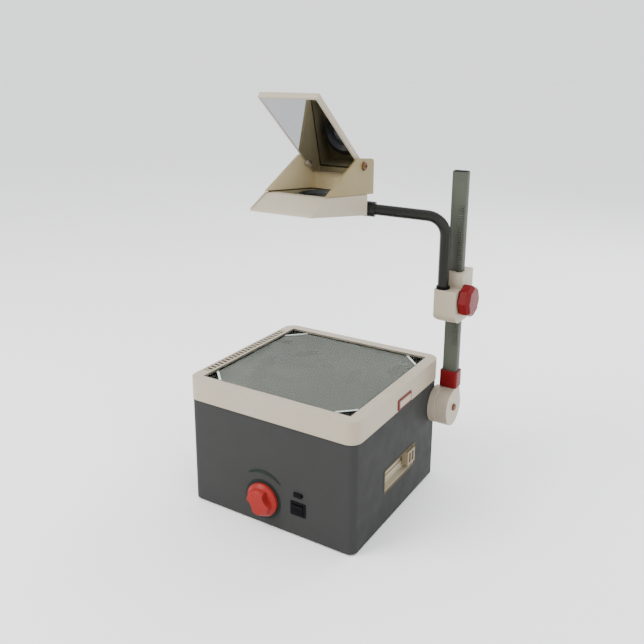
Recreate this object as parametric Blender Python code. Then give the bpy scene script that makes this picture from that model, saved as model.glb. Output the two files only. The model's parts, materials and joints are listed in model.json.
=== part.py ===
"""Overhead projector: a lamp box with a square glass stage, a side column, and a projection head.

Everything is in metres with +Z up. Positions are written in the projector's own frame, whose
origin is under the centre of the lamp box: +X is the column's side, -Y is the control side.
The empty "projector" then shifts the whole model, so that the world's origin lies under the
centre of the bounding box. Each moving group hangs from an empty on its joint's axis.
"""
import math

import bmesh
import bpy
from mathutils import Matrix, Vector

# ---- driving dimensions ----
WIDTH = 0.340                 # lamp box, left to right
DEPTH = 0.328                 # lamp box, front to back
HOUSING_BOTTOM = 0.003
HOUSING_TOP = 0.204
LID_TOP = 0.2455
LID_OVERHANG = 0.003
WALL = 0.003
GAP = 0.0003                  # between touching pieces
HOUSING_CORNER = 0.014
LID_CORNER = 0.022
STAGE = (0.303, 0.295)        # the recess that holds the glass
STAGE_LEDGE = (0.285, 0.277)  # the clear opening under it
MASK_CORNER = 0.036           # legs of the triangles that close the stage's corners
PLATE_TOP = 0.009             # upper face of the base plate
CENTRE_SHIFT = Vector((-0.0315, -0.0090, 0.0))

HINGE_X = -0.1735
HINGE_Z = HOUSING_TOP
HINGE_BARREL = 0.004
HINGE_LENGTH = 0.240
HINGE_KNUCKLES = 5

KNOB_X = -0.011               # adjusting knob on the front
KNOB_Z = 0.051
KNOB_RADIUS = 0.031
KNOB_DEPTH = 0.0187
SWITCH_X = 0.062
SWITCH_Z = 0.0555
MODE_Z = 0.0825

CHANGER_Y = (-0.0550, 0.0670)  # lamp changer's recess on the right side
CHANGER_Z = (0.0650, 0.1060)
LAMP_PITCH = 0.075
FAN = Vector((-0.1550, -0.0600, 0.0720))
TRANSFORMER = Vector((-0.1000, 0.0900, PLATE_TOP))

PIVOT_Y = 0.155               # column's folding pivot
PIVOT_Z = 0.153
LOBE_RADIUS = 0.036
LOBE_SPLIT = 0.1862           # plane between the fixed boss and the folding knuckle
COLUMN = Vector((0.195, 0.168))
COLUMN_SIZE = (0.028, 0.016)
COLUMN_BOTTOM = 0.1903
COLUMN_TOP = 0.602

CARRIAGE_X = (0.1735, 0.2170)
CARRIAGE_Y = (0.1155, 0.2015)
CARRIAGE_Z = (0.3300, 0.4200)
CARRIAGE_SWEEP = 0.016        # rounding of its lower edge on the lamp box's side
SOCKET_TOP = 0.393            # the tube's socket is lower than the column's guide
PINION_Z = 0.372
GEAR_MODULE = 0.0015
PINION_TEETH = 12
PINION_RADIUS = GEAR_MODULE * PINION_TEETH / 2
RACK_ROOT = COLUMN.y - COLUMN_SIZE[1] / 2 - GAP - 0.0015
PINION_Y = RACK_ROOT - 0.0014 - PINION_RADIUS
RACK_X = (0.2000, 0.2060)

TUBE_RADIUS = 0.010
TUBE_X = 0.186
TUBE_Y = 0.130
TUBE_BOTTOM = 0.345
TUBE_ELBOW_Z = 0.5235         # where the two straight runs would meet
TUBE_END = Vector((0.031, 0.082, 0.5345))
TUBE_BEND = 0.035

HEAD_HALF = 0.0615            # outside of the head's cheeks
CHEEK = 0.004
MIRROR_Y = 0.050
MIRROR_Z = 0.615
MIRROR_TILT = 40              # degrees above horizontal at rest
MIRROR_LENGTH = 0.190         # from the pivot to the mirror's free end
MIRROR_TAIL = 0.030           # how far it reaches past the pivot, down into the head
LENS_SEAT = 0.5480
SLOPE_FRONT = (-0.119, 0.556)  # the head's sloping upper edge, in Y and Z
SLOPE_STEP = (-0.077, 0.577)
SLOPE_TOP = (0.028, 0.630)
TRAY_FRONT_FLOOR = (-0.1190, 0.5510)  # underside of the head's tray, in Y and Z
TRAY_REAR_FLOOR = (0.0680, 0.5245)

COLOURS = {                   # linear colour, roughness, metallic
    "housing_grey": ((0.095, 0.095, 0.095), 0.55, 0.0),
    "cream": ((0.53, 0.50, 0.42), 0.45, 0.0),
    "tan": ((0.38, 0.31, 0.19), 0.5, 0.0),
    "stage_green": ((0.27, 0.30, 0.26), 0.25, 0.0),
    "black": ((0.012, 0.013, 0.013), 0.4, 0.0),
    "red": ((0.42, 0.025, 0.02), 0.35, 0.0),
    "column_green": ((0.15, 0.155, 0.125), 0.4, 0.5),
    "tube_grey": ((0.05, 0.05, 0.045), 0.35, 0.3),
    "brown_metal": ((0.13, 0.06, 0.025), 0.35, 0.8),
    "steel": ((0.55, 0.55, 0.55), 0.3, 1.0),
    "rubber": ((0.02, 0.02, 0.02), 0.8, 0.0),
    "clear_glass": ((0.8, 0.85, 0.85), 0.03, 0.0),
    "mirror_silver": ((0.85, 0.86, 0.88), 0.02, 1.0),
    "ceramic_white": ((0.7, 0.68, 0.62), 0.5, 0.0),
    "copper": ((0.45, 0.17, 0.07), 0.4, 0.9),
}


def clear_scene():
    """Start from an empty scene."""
    for old in list(bpy.data.objects):
        bpy.data.objects.remove(old, do_unlink=True)


# ---- outlines ----
def arc(centre, radius, start, end, steps):
    """Points along an arc, from the start to the end angle in degrees."""
    points = []
    for step in range(steps + 1):
        angle = math.radians(start + (end - start) * step / steps)
        points.append((centre[0] + radius * math.cos(angle), centre[1] + radius * math.sin(angle)))
    return points


def rectangle(low, high, radius=0.0, steps=5):
    """A rectangle's outline between two opposite corners, with rounded corners."""
    if not radius:
        return [(low[0], low[1]), (high[0], low[1]), (high[0], high[1]), (low[0], high[1])]
    inner_low = (low[0] + radius, low[1] + radius)
    inner_high = (high[0] - radius, high[1] - radius)
    corners = [inner_high, (inner_low[0], inner_high[1]), inner_low, (inner_high[0], inner_low[1])]
    points = []
    for quarter, corner in enumerate(corners):
        points += arc(corner, radius, 90 * quarter, 90 * quarter + 90, steps)
    return points


def centred(width, depth, radius=0.0, steps=5):
    """A rectangle's outline about the origin."""
    return rectangle((-width / 2, -depth / 2), (width / 2, depth / 2), radius, steps)


# ---- solids ----
def solid_mesh(name, points, faces):
    """A mesh with its faces pointing out."""
    mesh = bpy.data.meshes.new(name)
    mesh.from_pydata(points, [], faces)
    model = bmesh.new()
    model.from_mesh(mesh)
    bmesh.ops.recalc_face_normals(model, faces=model.faces)
    model.to_mesh(mesh)
    model.free()
    return mesh


def prism(outline, low, high, along="z"):
    """A mesh that extrudes an outline of the two other axes from low to high."""
    def place(point, height):
        if along == "x":
            return (height, point[0], point[1])
        if along == "y":
            return (point[0], height, point[1])
        return (point[0], point[1], height)

    count = len(outline)
    points = [place(p, low) for p in outline] + [place(p, high) for p in outline]
    faces = [(i, (i + 1) % count, (i + 1) % count + count, i + count) for i in range(count)]
    faces += [tuple(range(count)), tuple(range(count, 2 * count))]
    return solid_mesh("prism", points, faces)


def box(low, high):
    """A mesh of a plain box between two opposite corners."""
    return prism(rectangle(low[:2], high[:2]), low[2], high[2])


def turned(profile, centre, along="z", segments=32):
    """A mesh of revolution. The profile holds (radius, height) points and closes on itself."""
    points = []
    rings = []
    for radius, height in profile:
        if radius == 0:
            rings.append([len(points)])
            points.append((0.0, 0.0, height))
            continue
        rings.append(list(range(len(points), len(points) + segments)))
        for step in range(segments):
            angle = 2 * math.pi * step / segments
            points.append((radius * math.cos(angle), radius * math.sin(angle), height))
    faces = []
    for first, second in zip(rings, rings[1:] + rings[:1]):
        for step in range(segments):
            after = (step + 1) % segments
            if len(first) == 1 and len(second) == 1:
                break
            if len(first) == 1:
                faces.append((first[0], second[step], second[after]))
            elif len(second) == 1:
                faces.append((first[step], first[after], second[0]))
            else:
                faces.append((first[step], first[after], second[after], second[step]))
    mesh = solid_mesh("turned", points, faces)
    turns = {"z": Matrix(), "x": Matrix.Rotation(math.pi / 2, 4, "Y"),
             "y": Matrix.Rotation(-math.pi / 2, 4, "X")}
    mesh.transform(Matrix.Translation(Vector(centre)) @ turns[along])
    return mesh


def cylinder(radius, low, high, centre, along="z", segments=24):
    """A mesh of a round bar, whose heights are measured from the centre."""
    return turned([(0, low), (radius, low), (radius, high), (0, high)], centre, along, segments)


def ring(inner, outer, low, high, centre, along="z", segments=32):
    """A mesh of a plain round ring."""
    return turned([(inner, low), (outer, low), (outer, high), (inner, high)], centre, along, segments)


# ---- objects ----
def material(name):
    """The material of that name, made the first time it is asked for."""
    if name in bpy.data.materials:
        return bpy.data.materials[name]
    made = bpy.data.materials.new(name)
    made.use_nodes = True
    colour, roughness, metallic = COLOURS[name]
    shader = made.node_tree.nodes["Principled BSDF"]
    shader.inputs["Base Color"].default_value = (*colour, 1.0)
    shader.inputs["Roughness"].default_value = roughness
    shader.inputs["Metallic"].default_value = metallic
    return made


def axis(name, position, parent=None):
    """An empty on a joint's axis, at a position in the projector's frame."""
    empty = bpy.data.objects.new(name, None)
    bpy.context.collection.objects.link(empty)
    empty["place"] = tuple(position)
    empty.location = Vector(position)
    if parent:
        empty.parent = parent
        empty.location = Vector(position) - Vector(parent["place"])
    return empty


def piece(name, mesh, colour, parent, smooth=False):
    """One named sub-part, whose mesh is in the projector's frame, hung from an empty."""
    obj = bpy.data.objects.new(name, mesh)
    bpy.context.collection.objects.link(obj)
    mesh.name = name
    mesh.materials.append(material(colour))
    obj.parent = parent
    obj.location = -Vector(parent["place"])
    if smooth:
        mesh.shade_smooth()
        mesh.set_sharp_from_angle(angle=math.radians(35))
    return obj


def combine(target, operation, meshes):
    """Join meshes to a sub-part, or cut them from it, each as a hidden tool beside it."""
    for mesh in meshes:
        tool = bpy.data.objects.new("tool_" + target.name, mesh)
        bpy.context.collection.objects.link(tool)
        tool.parent = target.parent
        tool.location = target.location
        tool.hide_render = True
        tool.display_type = "WIRE"
        change = target.modifiers.new(operation.lower(), "BOOLEAN")
        change.operation = operation
        change.object = tool


def join(target, *meshes):
    """Adds shapes to a piece."""
    combine(target, "UNION", meshes)


def cut(target, *meshes):
    """Takes shapes away from a piece."""
    combine(target, "DIFFERENCE", meshes)


def keep(target, *meshes):
    """Leaves only what a piece shares with the shapes."""
    combine(target, "INTERSECT", meshes)


# ---- lamp box ----
def side_slots(face_x, centre_y, low_z, count, length):
    """Cutters for horizontal slots through a side wall."""
    return [box((face_x - 0.008, centre_y - length / 2, low_z + 0.0085 * row),
                (face_x + 0.008, centre_y + length / 2, low_z + 0.0085 * row + 0.004))
            for row in range(count)]


def housing(root):
    """The grey shell: four walls and a narrow deck that the stage frame closes on."""
    shell = prism(centred(WIDTH, DEPTH, HOUSING_CORNER), HOUSING_BOTTOM, HOUSING_TOP)
    part = piece("housing", shell, "housing_grey", root)
    inside = centred(WIDTH - 2 * WALL, DEPTH - 2 * WALL, HOUSING_CORNER - WALL)
    cut(part, prism(inside, HOUSING_BOTTOM - 0.01, HOUSING_TOP - WALL))
    cut(part, prism(centred(0.300, 0.288, 0.010), HOUSING_TOP - 0.01, HOUSING_TOP + 0.01))
    front = -DEPTH / 2
    rear = DEPTH / 2
    cut(part, cylinder(0.0040, -0.01, 0.01, (KNOB_X, front, KNOB_Z), "y"))
    cut(part, box((SWITCH_X - 0.0125, front - 0.01, SWITCH_Z - 0.0105),
                  (SWITCH_X + 0.0125, front + 0.01, SWITCH_Z + 0.0105)))
    cut(part, box((SWITCH_X - 0.0100, front - 0.01, MODE_Z - 0.0025),
                  (SWITCH_X + 0.0100, front + 0.01, MODE_Z + 0.0025)))
    recess = rectangle((CHANGER_Y[0], CHANGER_Z[0]), (CHANGER_Y[1], CHANGER_Z[1]), 0.003)
    cut(part, prism(recess, WIDTH / 2 - 0.01, WIDTH / 2 + 0.01, "x"))
    cut(part, *side_slots(-WIDTH / 2, FAN.y, 0.0400, 8, 0.066))
    cut(part, box((-0.145, rear - 0.01, 0.0295), (-0.117, rear + 0.01, 0.0500)))
    for column in range(7):
        left = -0.060 + 0.018 * column
        cut(part, box((left, rear - 0.01, 0.130), (left + 0.008, rear + 0.01, 0.170)))
    cut(part, cylinder(0.0045, -0.01, 0.01, (WIDTH / 2, PIVOT_Y, PIVOT_Z), "x"))
    cut(part, box((0.1535, -0.0010, 0.19), (0.1645, 0.0190, 0.21)))
    half = HINGE_LENGTH / 2 + 0.0005
    cut(part, cylinder(HINGE_BARREL + 0.0005, -half, half, (HINGE_X, 0, HINGE_Z), "y"))


def base_plate(root):
    """The steel bottom plate with its air slots and the holes of the four feet."""
    outline = centred(WIDTH - 2 * WALL - 2 * GAP, DEPTH - 2 * WALL - 2 * GAP, HOUSING_CORNER - WALL)
    part = piece("base_plate", prism(outline, 0.0065, PLATE_TOP), "steel", root)
    for x in (-0.150, 0.150):
        for y in (-0.144, 0.144):
            cut(part, cylinder(0.0033, -0.01, 0.01, (x, y, 0.0075)))
    for row in range(6):
        near = 0.011 * row - 0.033
        cut(part, box((-0.145, near, 0.0), (-0.075, near + 0.005, 0.02)))


def feet(root):
    """Four rubber feet, pushed into the base plate by their spigots."""
    profile = [(0, 0), (0.0095, 0), (0.011, 0.0015), (0.011, 0.0062), (0.003, 0.0062),
               (0.003, 0.0110), (0, 0.0110)]
    for side, x in (("left", -0.150), ("right", 0.150)):
        for end, y in (("front", -0.144), ("rear", 0.144)):
            piece("foot_%s_%s" % (end, side), turned(profile, (x, y, 0), segments=16),
                  "rubber", root, smooth=True)


# ---- stage ----
def stage_frame(lid):
    """The cream frame that carries the glass and opens as a lid."""
    width = WIDTH + 2 * LID_OVERHANG
    depth = DEPTH + 2 * LID_OVERHANG
    part = piece("stage_frame", prism(centred(width, depth, LID_CORNER, 8), HOUSING_TOP + GAP, LID_TOP),
                 "cream", lid)
    inside = centred(width - 2 * WALL, depth - 2 * WALL, LID_CORNER - WALL, 8)
    cut(part, prism(inside, HOUSING_TOP - 0.01, 0.2340))
    cut(part, prism(centred(*STAGE_LEDGE), HOUSING_TOP, LID_TOP + 0.01))
    cut(part, prism(centred(*STAGE), 0.2373, LID_TOP + 0.01))
    cut(part, box((-0.1693, -0.1250, LID_TOP - 0.0035), (-0.1557, 0.1250, LID_TOP + 0.01)))
    half = HINGE_LENGTH / 2 + 0.0005
    cut(part, cylinder(HINGE_BARREL + 0.0005, -half, half, (HINGE_X, 0, HINGE_Z), "y"))
    cut(part, box((0.165, -0.0132, 0.2095), (0.180, 0.0312, 0.2225)))


def stage_layers(lid):
    """The glass, the mask that closes its corners and the Fresnel lens, from the top down."""
    width = STAGE[0] - 2 * GAP
    depth = STAGE[1] - 2 * GAP
    piece("stage_glass", prism(centred(width, depth), 0.2412, 0.2444), "clear_glass", lid)
    piece("fresnel_lens", prism(centred(width, depth), 0.2376, 0.2400), "stage_green", lid)
    mask = piece("stage_mask", prism(centred(width, depth), 0.2403, 0.2409), "black", lid)
    x = width / 2 - 0.003
    y = depth / 2 - 0.003
    leg = MASK_CORNER
    window = [(x - leg, -y), (x, leg - y), (x, y - leg), (x - leg, y),
              (leg - x, y), (-x, y - leg), (-x, leg - y), (leg - x, -y)]
    cut(mask, prism(window, 0.239, 0.242))


def rail_vent(lid):
    """The ribbed strip that lets warm air out along the left rail."""
    strip = box((-0.1690, -0.1247, LID_TOP - 0.0032), (-0.1560, 0.1247, LID_TOP - 0.0020))
    part = piece("rail_vent", strip, "cream", lid)
    for rib in range(24):
        y = -0.1200 + 0.0104 * rib
        join(part, box((-0.1680, y - 0.0020, LID_TOP - 0.0024), (-0.1570, y + 0.0020, LID_TOP - 0.0002)))


def hinge_leaf(name, parent, first, plate, web):
    """A leaf whose knuckles take every second place along the barrel, beginning at first."""
    part = piece(name, plate, "steel", parent)
    pitch = HINGE_LENGTH / HINGE_KNUCKLES
    for place in range(first, HINGE_KNUCKLES, 2):
        low = -HINGE_LENGTH / 2 + pitch * place + 0.0003
        high = low + pitch - 0.0006
        join(part, box((web[0], low, web[2]), (web[1], high, web[3])))
        join(part, cylinder(HINGE_BARREL, low, high, (HINGE_X, 0, HINGE_Z), "y", 14))
    half = HINGE_LENGTH / 2 + 0.01
    cut(part, cylinder(0.0018, -half, half, (HINGE_X, 0, HINGE_Z), "y", 10))


def lid_hinge(root, lid):
    """The long hinge down the left side and its pin."""
    half = HINGE_LENGTH / 2
    housing_face = -WIDTH / 2 - GAP
    lid_face = -WIDTH / 2 - LID_OVERHANG - GAP
    hinge_leaf("hinge_leaf_housing", root, 0,
               box((housing_face - 0.0012, -half, 0.1840), (housing_face, half, 0.1990)),
               (housing_face - 0.0012, housing_face, 0.1980, 0.2035))
    hinge_leaf("hinge_leaf_lid", lid, 1,
               box((lid_face - 0.0012, -half, 0.2090), (lid_face, half, 0.2240)),
               (lid_face - 0.0012, lid_face, 0.2045, 0.2100))
    piece("hinge_pin", cylinder(0.0015, -half, half, (HINGE_X, 0, HINGE_Z), "y", 10),
          "steel", root, smooth=True)


def lid_latch(lid, latch):
    """A push button in a red surround; its tongue drops into a slot in the housing's deck."""
    face = WIDTH / 2 + LID_OVERHANG
    bezel = piece("latch_bezel", prism(rectangle((-0.0180, 0.2060), (0.0360, 0.2265), 0.002),
                                       face + GAP, face + 0.0016, "x"), "red", lid)
    cut(bezel, box((face - 0.01, -0.0134, 0.2093), (face + 0.01, 0.0314, 0.2227)))
    button = piece("latch_button", box((0.1585, -0.0128, 0.2099), (face + 0.0030, 0.0308, 0.2221)),
                   "cream", latch)
    join(button, box((0.1585, 0.0015, 0.1960), (0.1630, 0.0165, 0.2105)))


# ---- controls on the front ----
def adjusting_knob(turn):
    """The big red knob: a skirt with a raised round grip, and the spindle behind it."""
    front = -DEPTH / 2 - 0.0008
    profile = [(0, 0), (KNOB_RADIUS, 0), (KNOB_RADIUS, 0.0050), (0.0285, 0.0070), (0.0250, 0.0100),
               (0.0235, KNOB_DEPTH - 0.0020), (0.0215, KNOB_DEPTH), (0, KNOB_DEPTH)]
    body = turned([(r, -h) for r, h in profile], (KNOB_X, front, KNOB_Z), "y", 36)
    part = piece("adjusting_knob", body, "red", turn, smooth=True)
    join(part, cylinder(0.0030, -0.001, 0.0150, (KNOB_X, front, KNOB_Z), "y", 16))
    for side in (-1, 1):
        cut(part, cylinder(0.0180, -KNOB_DEPTH - 0.01, -0.0090,
                           (KNOB_X + side * 0.0290, front, KNOB_Z + side * 0.0165), "y", 24))


def rocker(root, rock):
    """The mains rocker and its surround."""
    front = -DEPTH / 2
    bezel = piece("switch_bezel", prism(rectangle((SWITCH_X - 0.0150, SWITCH_Z - 0.0130),
                                                  (SWITCH_X + 0.0150, SWITCH_Z + 0.0130), 0.0015),
                                        front - 0.0018, front - GAP, "y"), "black", root)
    join(bezel, box((SWITCH_X - 0.0122, front - 0.0010, SWITCH_Z - 0.0102),
                    (SWITCH_X + 0.0122, front + 0.0200, SWITCH_Z + 0.0102)))
    cut(bezel, box((SWITCH_X - 0.0106, front - 0.01, SWITCH_Z - 0.0088),
                   (SWITCH_X + 0.0106, front + 0.0150, SWITCH_Z + 0.0088)))
    profile = [(-0.0075, -0.0040), (0.0, -0.0022), (0.0075, -0.0040), (0.0066, 0.0060), (-0.0066, 0.0060)]
    outline = [(y, z) for z, y in profile]
    key = prism([(front + y, SWITCH_Z + z) for y, z in outline], SWITCH_X - 0.0101, SWITCH_X + 0.0101, "x")
    piece("rocker_switch", key, "black", rock)


def mode_switch(slide):
    """The small lamp economy slider above the rocker, held by a plate behind the wall."""
    front = -DEPTH / 2
    part = piece("mode_slider", box((SWITCH_X - 0.0060, front - 0.0035, MODE_Z - 0.0021),
                                    (SWITCH_X + 0.0060, front + 0.0050, MODE_Z + 0.0021)), "black", slide)
    join(part, box((SWITCH_X - 0.0150, front + WALL + 0.0004, MODE_Z - 0.0050),
                   (SWITCH_X + 0.0150, front + WALL + 0.0030, MODE_Z + 0.0050)))
    pad = rectangle((SWITCH_X - 0.0080, MODE_Z - 0.0042), (SWITCH_X + 0.0080, MODE_Z + 0.0042), 0.0015)
    join(part, prism(pad, front - 0.0035, front - 0.0006, "y"))


def inlet_socket(root):
    """The mains inlet in the rear wall: a flanged tub with three contact blades."""
    rear = DEPTH / 2
    part = piece("inlet_socket", box((-0.1485, rear + GAP, 0.0255), (-0.1135, rear + 0.0025, 0.0540)),
                 "black", root)
    join(part, box((-0.1447, rear - 0.0200, 0.0298), (-0.1173, rear + 0.0010, 0.0497)))
    cut(part, box((-0.1430, rear - 0.0170, 0.0315), (-0.1190, rear + 0.0100, 0.0480)))
    for x, z in ((-0.1380, 0.0370), (-0.1240, 0.0370), (-0.1310, 0.0420)):
        join(part, box((x - 0.0010, rear - 0.0180, z - 0.0020), (x + 0.0010, rear - 0.0040, z + 0.0020)))


# ---- lamp changer and light source ----
def changer_tray(root):
    """The tan recess in the right wall that the changer's lever slides in."""
    wall = WIDTH / 2
    low = (CHANGER_Y[0] + GAP, CHANGER_Z[0] + GAP)
    high = (CHANGER_Y[1] - GAP, CHANGER_Z[1] - GAP)
    part = piece("changer_tray", prism(rectangle(low, high, 0.0027), 0.1570, wall - GAP, "x"), "tan", root)
    flange = rectangle((low[0] - 0.006, low[1] - 0.006), (high[0] + 0.006, high[1] + 0.006), 0.003)
    join(part, prism(flange, wall - WALL - 0.0028, wall - WALL - GAP, "x"))
    inner = rectangle((low[0] + 0.0018, low[1] + 0.0018), (high[0] - 0.0018, high[1] - 0.0018), 0.0015)
    cut(part, prism(inner, 0.1590, wall + 0.01, "x"))
    cut(part, box((0.150, -0.0450, 0.0810), (0.165, 0.0640, 0.0900)))


def lamp_changer(root, change):
    """The rail, and the carrier that brings either lamp under the lens when its lever is slid."""
    floor = box((-0.0460, -0.1220, PLATE_TOP + GAP), (0.0460, 0.1220, 0.0113))
    rail = piece("lamp_rail", floor, "steel", root)
    for side in (-1, 1):
        edge = sorted((side * 0.0460, side * 0.0446))
        join(rail, box((edge[0], -0.1220, 0.0100), (edge[1], 0.1220, 0.0160)))
    plate = box((-0.0430, -0.0350, 0.0117), (0.0430, 0.1120, 0.0140))
    carrier = piece("lamp_carrier", plate, "ceramic_white", change)
    join(carrier, box((0.0380, 0.0920, 0.0125), (0.0410, 0.1040, 0.0190)))
    join(carrier, box((0.0390, 0.0925, 0.0165), (0.1330, 0.1035, 0.0185)))
    join(carrier, box((0.1310, 0.0930, 0.0170), (0.1325, 0.1030, 0.0880)))
    join(carrier, box((0.1312, 0.0420, 0.0825), (0.1323, 0.1000, 0.0875)))
    for lamp in (0, 1):
        join(carrier, cylinder(0.0110, 0.0130, 0.0280, (0, LAMP_PITCH * lamp, 0)))
        cut(carrier, cylinder(0.0052, 0.0200, 0.0400, (0, LAMP_PITCH * lamp, 0)))
    lever = piece("changer_lever", box((0.1600, 0.0345, 0.0740), (0.1730, 0.0640, 0.1010)), "tan", change)
    join(lever, box((0.1334, 0.0440, 0.0820), (0.1610, 0.0560, 0.0880)))
    cut(lever, box((0.1640, 0.0390, 0.0780), (0.1800, 0.0595, 0.0970)))
    join(lever, box((0.1620, 0.0475, 0.0760), (0.1730, 0.0510, 0.0990)))


def lamps(change):
    """Two halogen capsules, each in its own dished reflector."""
    bulb = [(0, 0.0203), (0.0048, 0.0203), (0.0048, 0.0330), (0.0062, 0.0345), (0.0065, 0.0480),
            (0.0050, 0.0530), (0.0022, 0.0555), (0, 0.0560)]
    dish = [(0.0075, 0.0283), (0.0130, 0.0283), (0.0240, 0.0400), (0.0320, 0.0560), (0.0335, 0.0600),
            (0.0320, 0.0600), (0.0225, 0.0415), (0.0110, 0.0300), (0.0075, 0.0295)]
    for lamp in (0, 1):
        centre = (0, LAMP_PITCH * lamp, 0)
        capsule = turned(bulb, centre, segments=16)
        mirror_dish = turned(dish, centre, segments=20)
        piece("lamp_%d" % (lamp + 1), capsule, "clear_glass", change, smooth=True)
        piece("reflector_%d" % (lamp + 1), mirror_dish, "mirror_silver", change, smooth=True)


def light_optics(root):
    """A bridge over the lamps that holds the heat glass and the condenser lens."""
    bridge = piece("optics_bridge", box((-0.055, -0.140, 0.0980), (0.055, 0.140, 0.1000)), "steel", root)
    for side in (-1, 1):
        edge = sorted((side * 0.1400, side * 0.1380))
        join(bridge, box((-0.055, edge[0], PLATE_TOP + GAP), (0.055, edge[1], 0.1000)))
    cut(bridge, cylinder(0.0380, 0.09, 0.11, (0, 0, 0)))
    piece("heat_glass", box((-0.046, -0.046, 0.1003), (0.046, 0.046, 0.1033)), "clear_glass", root)
    profile = [(0.0380, 0.1036), (0.0460, 0.1036), (0.0460, 0.1200), (0.0413, 0.1200), (0.0413, 0.1060),
               (0.0380, 0.1060)]
    piece("condenser_ring", turned(profile, (0, 0, 0), segments=24), "black", root, smooth=True)
    lens = [(0, 0.1063), (0.0410, 0.1063), (0.0410, 0.1100), (0.0330, 0.1150), (0.0200, 0.1185),
            (0, 0.1200)]
    piece("condenser_lens", turned(lens, (0, 0, 0), segments=24), "clear_glass", root, smooth=True)


def fan(root, spin):
    """The cooling fan inside the left wall."""
    outline = rectangle((FAN.y - 0.040, FAN.z - 0.040), (FAN.y + 0.040, FAN.z + 0.040), 0.004)
    part = piece("fan_frame", prism(outline, FAN.x - 0.0115, FAN.x + 0.0100, "x"), "black", root)
    cut(part, cylinder(0.0370, -0.02, 0.02, FAN, "x", 32))
    join(part, cylinder(0.0150, 0.0040, 0.0100, FAN, "x", 24))
    for bar in range(3):
        strut = box((0.0060, -0.0015, 0.0130), (0.0090, 0.0015, 0.0390))
        strut.transform(Matrix.Translation(FAN) @ Matrix.Rotation(math.radians(120 * bar + 30), 4, "X"))
        join(part, strut)
    wheel = piece("fan_impeller", cylinder(0.0150, -0.0100, 0.0035, FAN, "x", 24), "black", spin)
    for blade in range(7):
        vane = box((-0.0080, -0.0008, 0.0140), (0.0080, 0.0008, 0.0355))
        vane.transform(Matrix.Translation(FAN + Vector((-0.0033, 0, 0)))
                       @ Matrix.Rotation(math.radians(360 / 7 * blade), 4, "X")
                       @ Matrix.Rotation(math.radians(52), 4, "Z"))
        join(wheel, vane)


def transformer(root):
    """A laminated core with a copper winding around its middle limb."""
    x, y, z = TRANSFORMER
    low = z + GAP
    stack = box((x - 0.0375, y - 0.0150, low), (x + 0.0375, y + 0.0150, low + 0.062))
    core = piece("transformer_core", stack, "steel", root)
    for side in (-1, 1):
        window = sorted((x + side * 0.0125, x + side * 0.0250))
        cut(core, box((window[0], y - 0.02, low + 0.012), (window[1], y + 0.02, low + 0.050)))
    winding = rectangle((x - 0.0242, y - 0.0260), (x + 0.0242, y + 0.0260), 0.004)
    coil = piece("transformer_coil", prism(winding, low + 0.0125, low + 0.0495), "copper", root)
    cut(coil, box((x - 0.0129, y - 0.0154, low), (x + 0.0129, y + 0.0154, low + 0.06)))


# ---- column ----
def pivot(root, fold):
    """The round boss on the lamp box, the folding knuckle beside it and their screw."""
    face = WIDTH / 2 + GAP
    depth = LOBE_SPLIT - GAP - face
    profile = [(0.0045, 0), (LOBE_RADIUS, 0), (LOBE_RADIUS, depth - 0.0015), (LOBE_RADIUS - 0.0015, depth),
               (0.0045, depth)]
    piece("pivot_boss", turned(profile, (face, PIVOT_Y, PIVOT_Z), "x", 40), "cream", root, smooth=True)
    neck = [(COLUMN.y + 0.0125, 0.1900), (COLUMN.y - 0.0125, 0.1900)]
    lobe = arc((PIVOT_Y, PIVOT_Z), LOBE_RADIUS, 130, 370, 28)
    knuckle = piece("column_knuckle", prism(neck + lobe, LOBE_SPLIT, 0.2090, "x"), "cream", fold)
    join(knuckle, box((0.1834, COLUMN.y - 0.0056, 0.1894), (0.2066, COLUMN.y + 0.0056, 0.2300)))
    cut(knuckle, cylinder(0.0045, -0.02, 0.05, (LOBE_SPLIT, PIVOT_Y, PIVOT_Z), "x"))
    screw = [(0, 0.1640), (0.0042, 0.1640), (0.0042, 0.2093), (0.0070, 0.2093), (0.0070, 0.2115),
             (0.0050, 0.2130), (0, 0.2130)]
    shank = turned(screw, (0, PIVOT_Y, PIVOT_Z), "x", 24)
    part = piece("pivot_screw", shank, "brown_metal", root, smooth=True)
    cut(part, box((0.2120, PIVOT_Y - 0.0008, PIVOT_Z - 0.01), (0.22, PIVOT_Y + 0.0008, PIVOT_Z + 0.01)))


def column(fold, lock):
    """The flat tube that the carriage runs on, its rack and the red locking collar."""
    x, y = COLUMN
    half = (COLUMN_SIZE[0] / 2, COLUMN_SIZE[1] / 2)
    section = rectangle((x - half[0], y - half[1]), (x + half[0], y + half[1]), 0.002, 3)
    bar = piece("column", prism(section, COLUMN_BOTTOM, COLUMN_TOP), "column_green", fold)
    cut(bar, box((x - half[0] + 0.002, y - half[1] + 0.002, COLUMN_BOTTOM - 0.01),
                 (x + half[0] - 0.002, y + half[1] - 0.002, COLUMN_TOP - 0.0020)))
    ring_outline = rectangle((x - 0.0170, y - 0.0138), (x + 0.0170, y + 0.0138), 0.004)
    collar = piece("lock_collar", prism(ring_outline, 0.1905, 0.2235), "red", lock)
    cut(collar, box((x - half[0] - 0.0005, y - half[1] - 0.0005, 0.18),
                    (x + half[0] + 0.0005, y + half[1] + 0.0005, 0.23)))
    rack(fold)


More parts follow.
